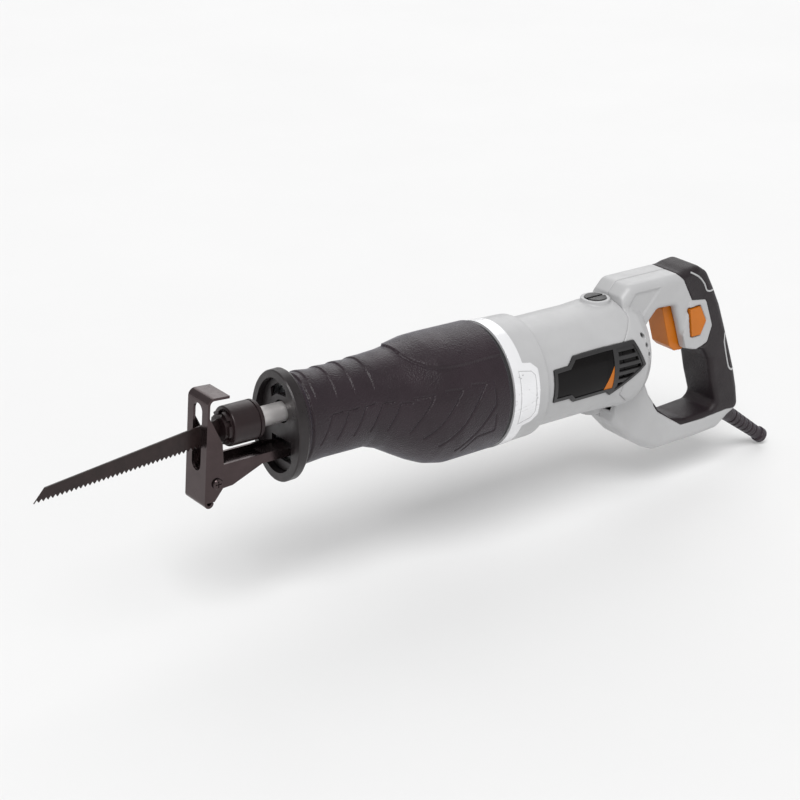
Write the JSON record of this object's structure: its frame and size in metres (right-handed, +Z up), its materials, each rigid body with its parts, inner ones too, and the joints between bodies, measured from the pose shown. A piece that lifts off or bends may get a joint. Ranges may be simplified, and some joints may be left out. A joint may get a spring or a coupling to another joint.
{
  "type": "reciprocating saw",
  "caption": "Corded reciprocating saw with a crank-driven plunger, tool-less blade chuck, pivoting shoe, rubber boot, D-handle, trigger and lock button.",
  "frame": {"origin": "on the stroke axis, in the front face of the shoe", "axes": "+X runs from the blade back to the handle along the stroke, +Z is up, and -Y is the side with the lock button"},
  "size_m": [0.6486, 0.0854, 0.1729],
  "materials": {
    "shell_grey": "satin moulded plastic",
    "ring_silver": "bright silver lacquer",
    "boot_rubber": "grained black rubber",
    "grip_rubber": "soft black overmould",
    "accent_orange": "moulded orange",
    "shoe_metal": "dark nickel",
    "nose_metal": "satin dark casting",
    "chuck_black": "black oxide",
    "bright_steel": "ground",
    "blade_steel": "dark lacquered tool steel",
    "cast_alloy": "die cast",
    "lamination": "stacked sheet steel",
    "copper": "copper",
    "brass": "brass",
    "carbon": "carbon",
    "black_plastic": "moulded black",
    "badge_black": "gloss black"
  },
  "bodies": {
    "saw_body": {"armature_bearings": "bright_steel", "badge_frames": "black_plastic", "badge_panels": "badge_black", "badge_wedges": "accent_orange", "bearing_plate": "cast_alloy", "brush_caps": "black_plastic", "brush_holders": "brass", "brush_springs": "bright_steel", "brushes": "carbon", "cable_clamp": "black_plastic", "case_screws": "bright_steel", "collar_ring": "ring_silver", "field_coils": "copper", "front_plate": "nose_metal", "gear_bearing": "bright_steel", "gear_case": "cast_alloy", "grip_rubber": "grip_rubber", "handle_shell_left": "shell_grey", "handle_shell_right": "shell_grey", "joint_seal": "black_plastic", "lock_spring": "bright_steel", "motor_housing": "shell_grey", "nose_ring": "nose_metal", "plunger_bushes": "brass", "plunger_seal": "grip_rubber", "rubber_boot": "boot_rubber", "shell_screws": "bright_steel", "stator_core": "lamination", "strain_relief": "boot_rubber", "switch_body": "black_plastic", "trigger_spring": "bright_steel", "vent_grilles": "black_plastic"},
    "plunger": {"plunger": "bright_steel", "crank_yoke": "bright_steel", "chuck_body": "chuck_black", "chuck_lock_pin": "bright_steel", "blade": "blade_steel"},
    "chuck_collar": {"chuck_collar": "chuck_black"},
    "shoe_arm": {"shoe_bracket": "shoe_metal", "shoe_pivot_pin": "shoe_metal"},
    "shoe": {"shoe": "shoe_metal"},
    "crank": {"crank_gear": "bright_steel", "crank_pin": "bright_steel", "gear_spindle": "bright_steel"},
    "armature": {"armature_shaft": "bright_steel", "pinion": "bright_steel", "armature_core": "lamination", "armature_windings": "copper", "commutator": "copper", "cooling_fan": "black_plastic"},
    "trigger": {"trigger": "accent_orange"},
    "lock_button": {"lock_button": "accent_orange"}
  },
  "joints": [
    {"name": "plunger_stroke", "type": "slide", "parent": "saw_body", "child": "plunger", "axis": [1, 0, 0], "range_m": [0, 0.02]},
    {"name": "collar_twist", "type": "hinge", "parent": "plunger", "child": "chuck_collar", "pos_m": [0.03, 0, 0], "axis": [1, 0, 0], "range_deg": [0, 50], "stiffness_Nm_per_rad": 0.15},
    {"name": "shoe_depth", "type": "slide", "parent": "saw_body", "child": "shoe_arm", "axis": [-1, 0, 0], "range_m": [0, 0.02]},
    {"name": "shoe_pivot", "type": "hinge", "parent": "shoe_arm", "child": "shoe", "pos_m": [0.00714, 0, -0.03247], "axis": [0, 1, 0], "range_deg": [-14, 8]},
    {"name": "armature_spin", "type": "hinge", "parent": "saw_body", "child": "armature", "pos_m": [0.275, 0, -0.019], "axis": [1, 0, 0], "continuous": true},
    {"name": "crank_spin", "type": "hinge", "parent": "saw_body", "child": "crank", "pos_m": [0.175, 0, -0.019], "axis": [0, 1, 0], "continuous": true},
    {"name": "trigger_pull", "type": "slide", "parent": "saw_body", "child": "trigger", "axis": [1, 0, 0], "range_m": [0, 0.006], "stiffness_N_per_m": 900, "springref_m": -0.002},
    {"name": "lock_press", "type": "slide", "parent": "saw_body", "child": "lock_button", "axis": [0, 1, 0], "range_m": [0, 0.003], "stiffness_N_per_m": 500, "springref_m": -0.001}
  ],
  "couplings": [
    {"joint": "crank_spin", "follows": "armature_spin", "ratio": -0.25}
  ]
}
